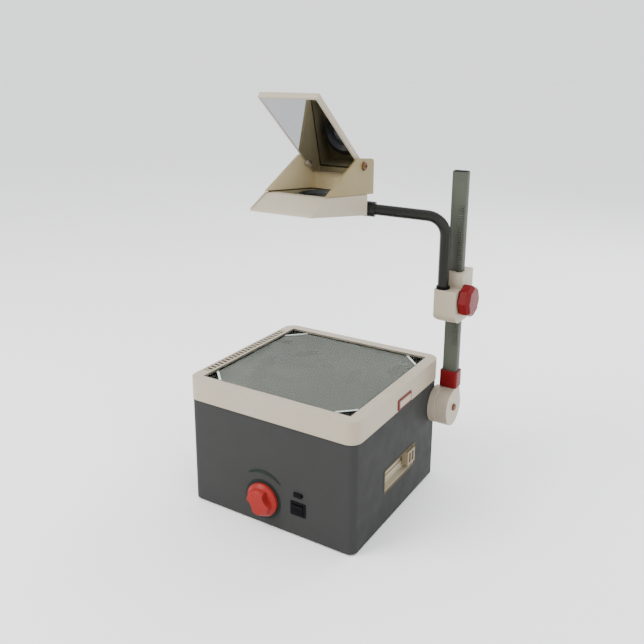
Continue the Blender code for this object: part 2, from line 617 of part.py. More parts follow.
def rack(fold):
    """A toothed strip down the column's front face; at rest a gap faces the pinion."""
    pitch = math.pi * GEAR_MODULE
    back = RACK_ROOT + 0.0015
    tip = RACK_ROOT - 0.0023
    count = 36
    outline = [(back, PINION_Z + pitch * count), (back, PINION_Z - pitch * 20)]
    for tooth in range(-20, count):
        middle = PINION_Z + pitch * (tooth + 0.5)
        outline += [(RACK_ROOT, middle - 0.30 * pitch), (tip, middle - 0.12 * pitch),
                    (tip, middle + 0.12 * pitch), (RACK_ROOT, middle + 0.30 * pitch)]
    piece("rack", prism(outline, RACK_X[0], RACK_X[1], "x"), "steel", fold)


# ---- carriage and focusing ----
def carriage(slide):
    """The cream block that climbs the column and carries the arm's tube."""
    near, far = CARRIAGE_Y
    low, high = CARRIAGE_Z
    left, right = CARRIAGE_X
    step = near + 0.031
    side = arc((near + 0.022, low + 0.022), 0.022, 180, 270, 6)
    side += arc((far - 0.006, low + 0.006), 0.006, 270, 360, 3)
    side += [(far, high), (step, high), (step, SOCKET_TOP), (near, SOCKET_TOP)]
    part = piece("carriage", prism(side, left, right, "x"), "cream", slide)
    keep(part, prism(rectangle((left, near), (right, far), 0.005), low - 0.01, high + 0.01))
    edge = (left - 0.0002, low - 0.0002)
    front = arc((edge[0] + CARRIAGE_SWEEP, edge[1] + CARRIAGE_SWEEP), CARRIAGE_SWEEP, 180, 270, 6)
    front += [(right + 0.01, edge[1]), (right + 0.01, high + 0.01), (edge[0], high + 0.01)]
    keep(part, prism(front, near - 0.01, far + 0.01, "y"))
    x, y = COLUMN
    cut(part, box((x - 0.0145, y - 0.0085, low - 0.02), (x + 0.0145, y + 0.0085, high + 0.02)))
    cut(part, box((RACK_X[0] - 0.0012, RACK_ROOT - 0.0030, low - 0.02),
                  (RACK_X[1] + 0.0012, y, high + 0.02)))
    cut(part, cylinder(0.0110, RACK_X[0] - 0.0010, RACK_X[1] + 0.0010, (0, PINION_Y, PINION_Z), "x"))
    cut(part, cylinder(0.0033, RACK_X[1], 0.2300, (0, PINION_Y, PINION_Z), "x", 16))
    cut(part, cylinder(TUBE_RADIUS + GAP, TUBE_BOTTOM - 0.0005, 0.45, (TUBE_X, TUBE_Y, 0), "z", 24))


def focusing(turn):
    """The pinion on its spindle, and the red knob outside the carriage."""
    pitch = 360 / PINION_TEETH
    outline = []
    for tooth in range(PINION_TEETH):
        middle = 180 + pitch * tooth
        for radius, offset in ((PINION_RADIUS - 0.0014, -0.30), (PINION_RADIUS + 0.0009, -0.11),
                               (PINION_RADIUS + 0.0009, 0.11), (PINION_RADIUS - 0.0014, 0.30)):
            angle = math.radians(middle + offset * pitch)
            outline.append((PINION_Y + radius * math.cos(angle), PINION_Z + radius * math.sin(angle)))
    gear = piece("focus_pinion", prism(outline, RACK_X[0], RACK_X[1], "x"), "steel", turn)
    join(gear, cylinder(0.0030, RACK_X[1] - 0.001, 0.2260, (0, PINION_Y, PINION_Z), "x", 16))
    face = CARRIAGE_X[1] + 0.0008
    profile = [(0, 0), (0.0270, 0), (0.0300, 0.0030), (0.0300, 0.0170), (0.0255, 0.0227), (0, 0.0227)]
    knob = piece("focus_knob", turned(profile, (face, PINION_Y, PINION_Z), "x", 8), "red", turn)
    cut(knob, cylinder(0.0033, -0.01, 0.0100, (face, PINION_Y, PINION_Z), "x", 16))


# ---- arm ----
def arm_centreline():
    """The tube's route: up from the carriage, round the elbow, and on to the head."""
    bottom = Vector((TUBE_X, TUBE_Y, TUBE_BOTTOM))
    corner = Vector((TUBE_X, TUBE_Y, TUBE_ELBOW_Z))
    run = (TUBE_END - corner).normalized()
    up = Vector((0, 0, 1))
    turn = up.angle(run)
    reach = TUBE_BEND * math.tan(turn / 2)
    side = (run - up * run.dot(up)).normalized()
    centre = corner - up * reach + side * TUBE_BEND
    points = [bottom]
    for step in range(9):
        angle = turn * step / 8
        points.append(centre - side * TUBE_BEND * math.cos(angle) + up * TUBE_BEND * math.sin(angle))
    points.append(TUBE_END)
    return points, run


def arm(swivel):
    """The bent tube, with a bush where it enters the carriage."""
    points, _ = arm_centreline()
    curve = bpy.data.curves.new("arm_tube", "CURVE")
    curve.dimensions = "3D"
    curve.bevel_depth = TUBE_RADIUS
    curve.bevel_resolution = 4
    curve.use_fill_caps = True
    curve.materials.append(material("tube_grey"))
    line = curve.splines.new("POLY")
    line.points.add(len(points) - 1)
    for place, point in zip(line.points, points):
        place.co = (*point, 1.0)
    tube = bpy.data.objects.new("arm_tube", curve)
    bpy.context.collection.objects.link(tube)
    tube.parent = swivel
    tube.location = -Vector(swivel["place"])
    piece("arm_bush", ring(TUBE_RADIUS + GAP, 0.0124, SOCKET_TOP + GAP, SOCKET_TOP + 0.0045,
                           (TUBE_X, TUBE_Y, 0)), "black", swivel, smooth=True)


def head_bracket(swivel):
    """The clamp that takes the tube's end, on the back of the head."""
    _, run = arm_centreline()
    back = TRAY_REAR_FLOOR[0] + GAP
    pad = box((0.0120, back, 0.5290), (0.0560, back + 0.003, 0.5560))
    part = piece("head_bracket", pad, "tube_grey", swivel)
    join(part, box((0.0270, back + 0.001, 0.5260), (0.0540, TUBE_END.y + 0.002, 0.5420)))
    boss = cylinder(0.0140, -0.0350, 0.0045, (0, 0, 0), "z", 32)
    turn = Vector((0, 0, 1)).rotation_difference(run).to_matrix().to_4x4()
    boss.transform(Matrix.Translation(TUBE_END) @ turn)
    join(part, boss)
    bore = cylinder(TUBE_RADIUS + GAP, -0.0500, GAP, (0, 0, 0), "z", 24)
    bore.transform(Matrix.Translation(TUBE_END) @ turn)
    cut(part, bore)
    cut(part, box((-0.05, 0.0, 0.50), (0.09, back, 0.58)))


# ---- projection head ----
def head_tray(swivel):
    """The head's floor: a sloping front deck, and a well with the lens seat behind it."""
    rear = TRAY_REAR_FLOOR[0]
    outline = [TRAY_FRONT_FLOOR, TRAY_REAR_FLOOR, (rear, 0.5625), SLOPE_STEP, SLOPE_FRONT]
    half = HEAD_HALF - 0.0015
    part = piece("head_tray", prism(outline, -half, half, "x"), "cream", swivel)
    well = [(-0.055, 0.5450), (0.065, 0.5280), (0.065, 0.60), (-0.055, 0.60)]
    cut(part, prism(well, -half + CHEEK, half - CHEEK, "x"))
    deck = [(-0.125, 0.5520), (-0.077, 0.5755), (-0.050, 0.5755), (-0.050, 0.60), (-0.125, 0.60)]
    cut(part, prism(deck, -half + 0.0030, half - 0.0030, "x"))
    hollow = [(-0.100, 0.5515), (-0.050, 0.5440), (-0.050, 0.5725), (-0.075, 0.5725),
              (-0.100, 0.5605)]
    cut(part, prism(hollow, -half + CHEEK, half - CHEEK, "x"))
    join(part, cylinder(0.0470, 0.5200, LENS_SEAT, (0, 0, 0), "z", 40))
    fall = (TRAY_REAR_FLOOR[1] - TRAY_FRONT_FLOOR[1]) / (rear - TRAY_FRONT_FLOOR[0])
    ends = (TRAY_FRONT_FLOOR[0] - 0.01, rear + 0.01)
    below = [(y, TRAY_FRONT_FLOOR[1] + 0.0004 + fall * (y - TRAY_FRONT_FLOOR[0])) for y in ends]
    below += [(ends[1], 0.50), (ends[0], 0.50)]
    cut(part, prism(below, -HEAD_HALF, HEAD_HALF, "x"))
    cut(part, cylinder(0.0365, 0.50, 0.58, (0, 0, 0), "z", 40))


def head_frame(swivel):
    """The two cheeks that hold the mirror's pivots, and the wall and shelf that close the back."""
    ear = arc((0.080, 0.6170), 0.008, 0, 90, 4)
    outline = [(0.0880, 0.5612)] + ear + [(0.034, 0.6300), SLOPE_TOP,
                                          (SLOPE_STEP[0] + 0.001, SLOPE_STEP[1] + 0.0008)]
    part = piece("head_frame", prism(outline, -HEAD_HALF, HEAD_HALF, "x"), "tan", swivel)
    inner = HEAD_HALF - CHEEK
    cut(part, box((-inner, -0.10, 0.50), (inner, 0.0880 - CHEEK, 0.70)))
    shelf = [(TRAY_REAR_FLOOR[0] + GAP, 0.5635), (0.0870, 0.5616), (0.0870, 0.5646),
             (TRAY_REAR_FLOOR[0] + GAP, 0.5665)]
    join(part, prism(shelf, -inner - 0.002, inner + 0.002, "x"))
    cut(part, cylinder(0.0024, -0.1, 0.1, (0, MIRROR_Y, MIRROR_Z), "x", 16))


def projection_lens(swivel):
    """The black barrel on its seat, with an upper and a lower glass element."""
    seat = LENS_SEAT + GAP
    profile = [(0.0290, 0.5400), (0.0360, 0.5400), (0.0360, seat), (0.0450, seat), (0.0450, 0.5620),
               (0.0420, 0.5665), (0.0340, 0.5700), (0.0290, 0.5650), (0.0290, 0.5530), (0.0265, 0.5530),
               (0.0265, 0.5440), (0.0290, 0.5440)]
    piece("lens_barrel", turned(profile, (0, 0, 0), segments=40), "black", swivel, smooth=True)
    upper = [(0, 0.5533), (0.0287, 0.5533), (0.0287, 0.5570), (0.0200, 0.5600), (0.0100, 0.5615),
             (0, 0.5620)]
    piece("lens_upper", turned(upper, (0, 0, 0), segments=20), "clear_glass", swivel, smooth=True)
    lower = [(0, 0.5437), (0.0287, 0.5437), (0.0287, 0.5400), (0.0200, 0.5370), (0.0100, 0.5355),
             (0, 0.5350)]
    piece("lens_lower", turned(lower, (0, 0, 0), segments=20), "clear_glass", swivel, smooth=True)


def mirror_outline(half, near, far, notch_x, notch_y):
    """A rectangle that is notched around the pivots at the middle of its two long sides."""
    right = [(half, near), (half, -notch_y), (notch_x, -notch_y), (notch_x, notch_y), (half, notch_y),
             (half, far)]
    return right + [(-x, y) for x, y in right[::-1]]


def mirror(tilt):
    """The mirror's tray and glass. They are drawn lying flat to the front, then raised."""
    raise_up = (Matrix.Translation((0, MIRROR_Y, MIRROR_Z))
                @ Matrix.Rotation(math.radians(-MIRROR_TILT), 4, "X"))

    def raised(mesh):
        mesh.transform(raise_up)
        return mesh

    half = HEAD_HALF - CHEEK - 0.0010
    near, far = -MIRROR_LENGTH, MIRROR_TAIL
    part = piece("mirror_frame", raised(box((-half, near, -0.003), (half, far, 0.007))), "cream", tilt)
    for side in (-1, 1):
        inner, outer = sorted((side * 0.0475, side * (half - 0.0002)))
        join(part, raised(cylinder(0.0080, inner, outer, (0, 0, 0), "x")))
    seat = mirror_outline(half - 0.0035, near + 0.0035, far - 0.0035, 0.0474, 0.0095)
    cut(part, raised(prism(seat, -0.01, 0.0005)))
    cut(part, raised(box((-half + 0.011, near + 0.010, 0.0060), (half - 0.011, far - 0.010, 0.02))))
    cut(part, raised(cylinder(0.0022, -0.1, 0.1, (0, 0, 0), "x", 16)))
    glass = mirror_outline(half - 0.0038, near + 0.0038, far - 0.0038, 0.0471, 0.0098)
    piece("mirror_glass", raised(prism(glass, -0.0026, 0.0002)), "mirror_silver", tilt)


def mirror_screws(swivel):
    """The two cap screws that the mirror's tray turns on."""
    outside = HEAD_HALF + GAP
    profile = [(0, 0.0490), (0.0019, 0.0490), (0.0019, outside), (0.0080, outside),
               (0.0080, outside + 0.0040), (0.0060, outside + 0.0065), (0, outside + 0.0072)]
    for name, side in (("mirror_screw_left", -1), ("mirror_screw_right", 1)):
        shape = turned([(r, side * h) for r, h in profile], (0, MIRROR_Y, MIRROR_Z), "x", 20)
        piece(name, shape, "brown_metal", swivel, smooth=True)


def build():
    """Hang every sub-part from the empty of the body that it moves with."""
    clear_scene()
    root = axis("projector", (0, 0, 0))
    housing(root)
    base_plate(root)
    feet(root)
    inlet_socket(root)
    changer_tray(root)
    light_optics(root)
    transformer(root)

    lid = axis("lid_axis", (HINGE_X, 0, HINGE_Z), root)
    latch = axis("latch_axis", (0.170, 0.009, 0.216), lid)
    stage_frame(lid)
    stage_layers(lid)
    rail_vent(lid)
    lid_hinge(root, lid)
    lid_latch(lid, latch)

    front = -DEPTH / 2
    adjusting_knob(axis("knob_axis", (KNOB_X, front, KNOB_Z), root))
    rocker(root, axis("rocker_axis", (SWITCH_X, front + 0.004, SWITCH_Z), root))
    mode_switch(axis("mode_axis", (SWITCH_X, front, MODE_Z), root))
    change = axis("changer_axis", (0.170, 0.050, 0.085), root)
    lamp_changer(root, change)
    lamps(change)
    fan(root, axis("fan_axis", FAN, root))

    fold = axis("fold_axis", (LOBE_SPLIT, PIVOT_Y, PIVOT_Z), root)
    pivot(root, fold)
    column(fold, axis("collar_axis", (COLUMN.x, COLUMN.y, 0.207), fold))
    slide = axis("carriage_axis", (COLUMN.x, COLUMN.y, 0.375), fold)
    carriage(slide)
    focusing(axis("focus_axis", (0.210, PINION_Y, PINION_Z), slide))

    swivel = axis("swivel_axis", (TUBE_X, TUBE_Y, SOCKET_TOP), slide)
    arm(swivel)
    head_bracket(swivel)
    head_tray(swivel)
    head_frame(swivel)
    projection_lens(swivel)
    mirror_screws(swivel)
    mirror(axis("mirror_axis", (0, MIRROR_Y, MIRROR_Z), swivel))
    root.location = CENTRE_SHIFT


build()
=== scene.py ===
"""Looks of the overhead projector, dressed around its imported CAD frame."""
import json
import math

import bmesh
import bpy
from mathutils import Matrix, Vector

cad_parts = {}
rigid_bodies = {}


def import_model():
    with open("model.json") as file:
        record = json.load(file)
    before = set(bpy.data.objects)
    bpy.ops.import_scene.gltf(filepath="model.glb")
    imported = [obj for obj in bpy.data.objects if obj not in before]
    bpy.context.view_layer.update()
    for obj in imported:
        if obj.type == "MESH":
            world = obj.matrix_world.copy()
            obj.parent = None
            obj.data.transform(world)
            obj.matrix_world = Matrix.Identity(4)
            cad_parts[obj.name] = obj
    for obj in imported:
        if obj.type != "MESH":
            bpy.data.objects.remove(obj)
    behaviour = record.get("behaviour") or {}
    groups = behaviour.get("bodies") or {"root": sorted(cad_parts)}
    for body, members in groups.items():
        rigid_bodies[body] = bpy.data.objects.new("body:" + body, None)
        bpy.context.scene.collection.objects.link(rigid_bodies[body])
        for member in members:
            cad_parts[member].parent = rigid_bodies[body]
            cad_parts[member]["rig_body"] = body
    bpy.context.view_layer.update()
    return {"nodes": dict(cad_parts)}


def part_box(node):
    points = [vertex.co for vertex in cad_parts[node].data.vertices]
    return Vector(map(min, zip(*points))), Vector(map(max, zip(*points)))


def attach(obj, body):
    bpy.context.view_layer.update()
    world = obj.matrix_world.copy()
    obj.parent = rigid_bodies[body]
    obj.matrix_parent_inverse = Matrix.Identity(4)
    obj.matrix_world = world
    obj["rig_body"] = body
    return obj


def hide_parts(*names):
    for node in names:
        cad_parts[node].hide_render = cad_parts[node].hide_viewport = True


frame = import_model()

ROUNDING_ANGLE = 35        # edges sharper than this many degrees are rounded
ROUNDING_STEPS = 2
FLAT_ANGLE = 0.4           # facets that meet at less than this are one face
MERGE_DISTANCE = 0.00001
CIRCLE_STEPS = 64
SKIN = 0.0001              # how far an added piece lies off the face under it

# ---- sizes of what is added to the frame, in metres ----
MASK_CORNER = 0.036        # legs of the dark triangles in the stage's corners
MASK_MARGIN = 0.003        # rim of the mask outside its window
LINE_HALF = 0.0020         # half the width of the white lines on the mask
GASKET_WIDTH = 0.0016
FRESNEL_PITCH = 0.0030
FRESNEL_DEPTH = 0.0004
SHADE_RING_RADII = (0.0200, 0.0372)  # painted shade: a dark ring behind the adjusting knob
SCALE_RADIUS = 0.0530      # middle of the wedge over the knob
SCALE_START = 124          # degrees from the right, where the wedge begins
SCALE_SWEEP = 78
SHUTTER_DEPTH = 0.0018     # thickness of the lamp changer's shutter
BEAD_SIDES = (0.0042, 0.0054)  # distances of the bead's sides from the cheek's outer face
SEAM_SLOPE = 0.1           # fall of the head's seam towards the back
GRIP_RIBS = 60             # ribs round the lens

# ---- camera, light and floor ----
CAMERA_AZIMUTH = 32.25     # degrees to the right of the projector's front
CAMERA_PITCH = 15.57       # degrees that it looks down
CAMERA_PLACE = Vector((0.6422, -1.1076, 0.7863))
CAMERA_LENS = 41.74        # focal length in millimetres
CAMERA_SHIFT = (0.020, -0.078)  # shares of the frame's width
SURROUND = 1.75            # radiance of the pale surround
SURROUND_TINT = (0.97, 0.985, 1.0)
FLOOR = 0.90               # how much light the floor gives back
FLOOR_SIZE = 60
LIGHT_TARGET = Vector((0, 0, 0.30))


def make_camera():
    """The camera stands where the drawing's viewpoint is."""
    data = bpy.data.cameras.new("camera")
    data.lens = CAMERA_LENS
    data.shift_x, data.shift_y = CAMERA_SHIFT
    camera = bpy.data.objects.new("camera", data)
    bpy.context.scene.collection.objects.link(camera)
    turn, pitch = math.radians(CAMERA_AZIMUTH), math.radians(CAMERA_PITCH)
    level = math.cos(pitch)
    back = Vector((math.sin(turn) * level, -math.cos(turn) * level, math.sin(pitch)))
    camera.location = CAMERA_PLACE
    camera.rotation_mode = "QUATERNION"
    camera.rotation_quaternion = back.to_track_quat("Z", "Y")
    bpy.context.scene.camera = camera


def softbox(name, place, size, power, tint=(1.0, 1.0, 1.0)):
    """A square area light aimed at the middle of the projector."""
    data = bpy.data.lights.new(name, "AREA")
    data.size = size
    data.energy = power
    data.color = tint
    light = bpy.data.objects.new(name, data)
    bpy.context.scene.collection.objects.link(light)
    light.location = place
    aim = LIGHT_TARGET - Vector(place)
    light.rotation_mode = "QUATERNION"
    light.rotation_quaternion = aim.to_track_quat("-Z", "Y")


def make_surround():
    """Even light from all round; the part in view has the brightness of the far floor."""
    world = bpy.data.worlds.new("studio")
    world.use_nodes = True
    tree = world.node_tree
    light = tree.nodes["Background"]
    light.inputs["Color"].default_value = (*SURROUND_TINT, 1)
    light.inputs["Strength"].default_value = SURROUND
    backdrop = tree.nodes.new("ShaderNodeBackground")
    backdrop.inputs["Color"].default_value = (*(FLOOR * channel for channel in SURROUND_TINT), 1)
    backdrop.inputs["Strength"].default_value = SURROUND
    path = tree.nodes.new("ShaderNodeLightPath")
    choice = tree.nodes.new("ShaderNodeMixShader")
    tree.links.new(path.outputs["Is Camera Ray"], choice.inputs["Fac"])
    tree.links.new(light.outputs["Background"], choice.inputs[1])
    tree.links.new(backdrop.outputs["Background"], choice.inputs[2])
    tree.links.new(choice.outputs["Shader"], tree.nodes["World Output"].inputs["Surface"])
    bpy.context.scene.world = world


def make_studio():
    """Soft light from the front left, a weaker fill from the right and a pale surround."""
    softbox("key_light", (-1.50, -1.90, 2.20), 1.6, 110, (1.0, 0.985, 0.96))
    softbox("fill_light", (2.20, -1.00, 1.20), 1.8, 18, (0.96, 0.98, 1.0))
    softbox("rear_light", (0.60, 2.10, 1.90), 1.6, 45)
    make_surround()
    bpy.ops.mesh.primitive_plane_add(size=FLOOR_SIZE)
    floor = bpy.context.object
    floor.name = "floor"
    paint = Finish("floor_paint", (FLOOR, FLOOR, FLOOR), 0.75)
    paint.mottle(0.004, 0.5)
    floor.data.materials.append(paint.material)


# ---- finishes ----
def shaded(colour, factor):
    """A colour made lighter or darker, no lighter than white."""
    return tuple(min(1.0, channel * factor) for channel in colour)


class Finish:
    """A Principled material that is built up from procedural layers."""

    def __init__(self, name, colour, roughness, metallic=0.0):
        self.material = bpy.data.materials.new(name)
        self.material.use_nodes = True
        self.tree = self.material.node_tree
        self.shader = self.tree.nodes["Principled BSDF"]
        self.shader.inputs["Metallic"].default_value = metallic
        self.place = self.node("ShaderNodeTexCoord").outputs["Object"]
        self.base = (*colour, 1.0)
        self.rough_base = roughness
        self.normal = None
        self.set_colour(self.base)
        self.set_rough(roughness)

    def node(self, kind):
        """A new shader node of a kind."""
        return self.tree.nodes.new(kind)

    def link(self, output, socket):
        """Joins an output to a socket."""
        self.tree.links.new(output, socket)

    def feed(self, value, socket):
        """Gives a socket a link or a plain value."""
        if isinstance(value, bpy.types.NodeSocket):
            self.link(value, socket)
        else:
            socket.default_value = value

    def set_colour(self, value):
        """The surface's colour, kept so that the next layer can cover it."""
        self.colour = value
        self.feed(value, self.shader.inputs["Base Color"])

    def set_rough(self, value):
        """The surface's roughness, as a number or a link."""
        self.feed(value, self.shader.inputs["Roughness"])

    def noise(self, scale, detail, stretch=(1, 1, 1)):
        """Soft noise fixed to the object, drawn out where the stretch is small."""
        mapping = self.node("ShaderNodeMapping")
        mapping.inputs["Scale"].default_value = stretch
        self.link(self.place, mapping.inputs["Vector"])
        texture = self.node("ShaderNodeTexNoise")
        texture.inputs["Scale"].default_value = scale
        texture.inputs["Detail"].default_value = detail
        texture.inputs["Roughness"].default_value = 0.55
        self.link(mapping.outputs["Vector"], texture.inputs["Vector"])
        return texture.outputs["Fac"]

    def cells(self, scale):
        """Distance from the middle of the nearest cell."""
        texture = self.node("ShaderNodeTexVoronoi")
        texture.inputs["Scale"].default_value = scale
        self.link(self.place, texture.inputs["Vector"])
        return texture.outputs["Distance"]

    def span(self, value, low, high, to_low=0.0, to_high=1.0):
        """Maps a value from one range to another, and stops at its ends."""
        node = self.node("ShaderNodeMapRange")
        for socket, number in zip(node.inputs[1:5], (low, high, to_low, to_high)):
            socket.default_value = number
        self.link(value, node.inputs["Value"])
        return node.outputs["Result"]

    def maths(self, operation, first, second):
        """One sum on two links or numbers."""
        node = self.node("ShaderNodeMath")
        node.operation = operation
        self.feed(first, node.inputs[0])
        self.feed(second, node.inputs[1])
        return node.outputs["Value"]

    def blend(self, factor, other):
        """Mixes another colour over what is there."""
        node = self.node("ShaderNodeMix")
        node.data_type = "RGBA"
        self.link(factor, node.inputs["Factor"])
        self.feed(self.colour, node.inputs[6])
        self.feed((*other, 1.0), node.inputs[7])
        self.set_colour(node.outputs[2])

    def mottle(self, amount, scale, tint=None):
        """Slow drifts of colour, towards a tint or towards a darker shade of its own."""
        drift = self.span(self.noise(scale, 4.0), 0.38, 0.66, 0.0, amount if tint else 1.0)
        if tint:
            self.blend(drift, tint)
        else:
            self.blend(self.maths("MULTIPLY", drift, 0.5), shaded(self.base[:3], 1 - 4 * amount))

    def specks(self, scale, limit, colour, strength):
        """Small spots where the cells' middles are."""
        dots = self.span(self.cells(scale), limit, limit * 0.4)
        self.blend(self.maths("MULTIPLY", dots, strength), colour)

    def edges(self, radius):
        """One along the sharp edges, nothing on the flats."""
        rounded = self.node("ShaderNodeBevel")
        rounded.samples = 4
        rounded.inputs["Radius"].default_value = radius
        geometry = self.node("ShaderNodeNewGeometry")
        dot = self.node("ShaderNodeVectorMath")
        dot.operation = "DOT_PRODUCT"
        self.link(rounded.outputs["Normal"], dot.inputs[0])
        self.link(geometry.outputs["Normal"], dot.inputs[1])
        return self.span(dot.outputs["Value"], 0.995, 0.86)

    def wear(self, colour, radius, strength, scale=90):
        """Edges rubbed through in places."""
        broken = self.span(self.noise(scale, 4.0), 0.44, 0.60)
        rubbed = self.maths("MULTIPLY", self.edges(radius), broken)
        self.blend(self.maths("MULTIPLY", rubbed, strength), colour)

    def dust(self, colour, strength):
        """A thin uneven film on the faces that look up."""
        geometry = self.node("ShaderNodeNewGeometry")
        parts = self.node("ShaderNodeSeparateXYZ")
        self.link(geometry.outputs["Normal"], parts.inputs["Vector"])
        upward = self.span(parts.outputs["Z"], 0.5, 1.0)
        patches = self.span(self.noise(24, 5.0), 0.40, 0.70)
        film = self.maths("MULTIPLY", upward, patches)
        self.blend(self.maths("MULTIPLY", film, strength), colour)

    def tint_near_bottom(self, colour, height, strength):
        """Darker marks towards the bottom, which fade out above a height."""
        parts = self.node("ShaderNodeSeparateXYZ")
        self.link(self.place, parts.inputs["Vector"])
        low = self.span(parts.outputs["Z"], height, 0.0)
        patches = self.span(self.noise(40, 5.0), 0.42, 0.68)
        marks = self.maths("MULTIPLY", low, patches)
        self.blend(self.maths("MULTIPLY", marks, strength), colour)

    def vary_gloss(self, spread, scale):
        """Drifts of roughness either side of the finish's own."""
        low, high = self.rough_base - spread, self.rough_base + spread
        self.set_rough(self.span(self.noise(scale, 4.0), 0.3, 0.7, low, high))

    def relief(self, height, depth, strength):
        """Adds a bump whose full height is depth metres."""
        node = self.node("ShaderNodeBump")
        node.inputs["Strength"].default_value = strength
        node.inputs["Distance"].default_value = depth
        self.link(height, node.inputs["Height"])
        if self.normal is not None:
            self.link(self.normal, node.inputs["Normal"])
        self.normal = node.outputs["Normal"]
        self.link(self.normal, self.shader.inputs["Normal"])

    def scratches(self, depth, stretch, scale):
        """Fine lines drawn out along one direction."""
        lines = self.span(self.noise(scale, 2.0, stretch), 0.45, 0.55)
        self.relief(lines, depth, 0.6)

    def gloss(self, **values):
        """Sets sockets that are the same all over the surface."""
        for name, value in values.items():
            self.shader.inputs[name.replace("_", " ")].default_value = value


def textured_paint(name, colour):
    """Thick sprayed paint on steel, with an orange-peel grain and a fine fleck."""
    paint = Finish(name, colour, 0.55)
    paint.mottle(0.018, 7)
    paint.specks(900, 0.16, shaded(colour, 1.7), 0.35)
    paint.specks(620, 0.13, shaded(colour, 0.4), 0.5)
    paint.wear((0.13, 0.13, 0.125), 0.0014, 0.4, 70)
    # darker towards the bottom of the housing
    paint.tint_near_bottom(shaded(colour, 0.7), 0.05, 0.3)
    paint.dust((0.12, 0.115, 0.11), 0.15)
    paint.vary_gloss(0.07, 30)
    paint.relief(paint.noise(850, 2.0), 0.00020, 0.55)
    paint.relief(paint.noise(300, 2.0), 0.00025, 0.40)
    paint.gloss(Specular_IOR_Level=0.06)
    return paint.material


def moulded_plastic(name, colour, aged, roughness=0.42, level=0.5, worn=1.25):
    """Moulded plastic: a fine spark-eroded grain, yellowing in patches and worn edges."""
    plastic = Finish(name, colour, roughness)
    plastic.mottle(0.55, 5, aged)
    plastic.mottle(0.018, 120)
    plastic.specks(260, 0.045, shaded(colour, 0.55), 0.5)
    plastic.wear(shaded(colour, worn), 0.0013, 0.6)
    plastic.dust(shaded(colour, 0.78), 0.28)
    plastic.vary_gloss(0.07, 22)
    plastic.relief(plastic.noise(1500, 2.0), 0.00007, 0.55)
    plastic.relief(plastic.noise(9, 2.0), 0.0006, 0.12)
    plastic.gloss(Specular_IOR_Level=level)
    return plastic.material


def glossy_plastic(name, colour, deep):
    """Harder, shinier plastic for the knobs."""
    plastic = Finish(name, colour, 0.30)
    plastic.mottle(0.5, 28, deep)
    plastic.wear(shaded(colour, 1.4), 0.0008, 0.35)
    plastic.specks(340, 0.05, deep, 0.6)
    plastic.vary_gloss(0.08, 45)
    plastic.relief(plastic.noise(900, 2.0), 0.00004, 0.5)
    plastic.scratches(0.00003, (1, 1, 12), 140)
    plastic.gloss(Coat_Weight=0.02, Coat_Roughness=0.15, Specular_IOR_Level=0.08)
    return plastic.material


def brushed_metal(name, colour, stretch, metallic, roughness, tint, level):
    """Metal with a drawn grain, slight stains and bright edges."""
    metal = Finish(name, colour, roughness, metallic)
    metal.mottle(0.06, 16)
    metal.mottle(0.5, 9, tint)
    metal.wear(shaded(colour, 1.9), 0.0008, 0.8)
    lines = metal.noise(260, 3.0, stretch)
    metal.set_rough(metal.span(lines, 0.3, 0.7, roughness - 0.08, roughness + 0.12))
    metal.relief(lines, 0.00006, 0.5)
    metal.gloss(Specular_IOR_Level=level)
    return metal.material


def satin_paint(name, colour, level):
    """Smooth stoved paint on a tube, with rubbed highlights and tiny pits."""
    paint = Finish(name, colour, roughness=0.34, metallic=0.1)
    paint.mottle(0.06, 14)
    paint.wear(shaded(colour, 3), 0.0010, 0.6)
    paint.specks(420, 0.06, shaded(colour, 2.4), 0.4)
    paint.vary_gloss(0.08, 34)
    paint.relief(paint.noise(700, 2.0), 0.00005, 0.5)
    paint.gloss(Coat_Weight=0.08, Coat_Roughness=0.25, Specular_IOR_Level=level)
    return paint.material


def soft_rubber(name, colour):
    """Dull rubber, dusty on top and scuffed where it meets the table."""
    rubber = Finish(name, colour, 0.78)
    rubber.mottle(0.06, 40)
    rubber.dust((0.12, 0.11, 0.10), 0.5)
    rubber.tint_near_bottom((0.06, 0.055, 0.05), 0.01, 0.7)
    rubber.vary_gloss(0.08, 60)
    rubber.relief(rubber.noise(1200, 3.0), 0.00010, 0.6)
    return rubber.material


def clear_glass(name, colour, roughness=0.02, index=1.5):
    """Glass with a trace of finger smears; a low index stands for an anti-glare coating."""
    glass = Finish(name, colour, roughness)
    glass.mottle(0.01, 8)
    smears = glass.noise(13, 6.0, (1, 2.2, 1))
    glass.set_rough(glass.span(smears, 0.45, 0.75, roughness, roughness + 0.015))
    glass.gloss(Transmission_Weight=1.0, IOR=index)
    return glass.material


def fresnel_plastic(name, colour):
    """Grooved acrylic: a grey-green sheet whose rings scatter the light."""
    plastic = Finish(name, colour, 0.30)
    plastic.mottle(0.35, 4, shaded(colour, 1.18))
    plastic.mottle(0.02, 60)
    plastic.specks(70, 0.02, (0.55, 0.56, 0.52), 0.5)
    plastic.vary_gloss(0.06, 18)
    plastic.relief(plastic.noise(240, 2.0), 0.00008, 0.4)
    plastic.gloss(Specular_IOR_Level=0.015)
    return plastic.material


def silvered(name, colour):
    """Front-silvered glass or polished metal, with a light haze and dust specks."""
    roughness = 0.025
    silver = Finish(name, colour, roughness, 1.0)
    silver.mottle(0.02, 12)
    silver.specks(110, 0.03, (0.45, 0.46, 0.46), 0.4)
    silver.set_rough(silver.span(silver.noise(17, 6.0), 0.45, 0.8, roughness, roughness + 0.12))
    silver.relief(silver.noise(4, 1.0), 0.0003, 0.05)
    return silver.material


def ceramic(name, colour):
    """Unglazed ceramic with brown scorch specks."""
    body = Finish(name, colour, 0.48)
    body.mottle(0.04, 30)
    body.specks(300, 0.08, (0.30, 0.24, 0.17), 0.5)
    body.wear((0.85, 0.83, 0.78), 0.0008, 0.5)
    body.vary_gloss(0.1, 80)
    body.relief(body.noise(600, 3.0), 0.00010, 0.6)
    return body.material


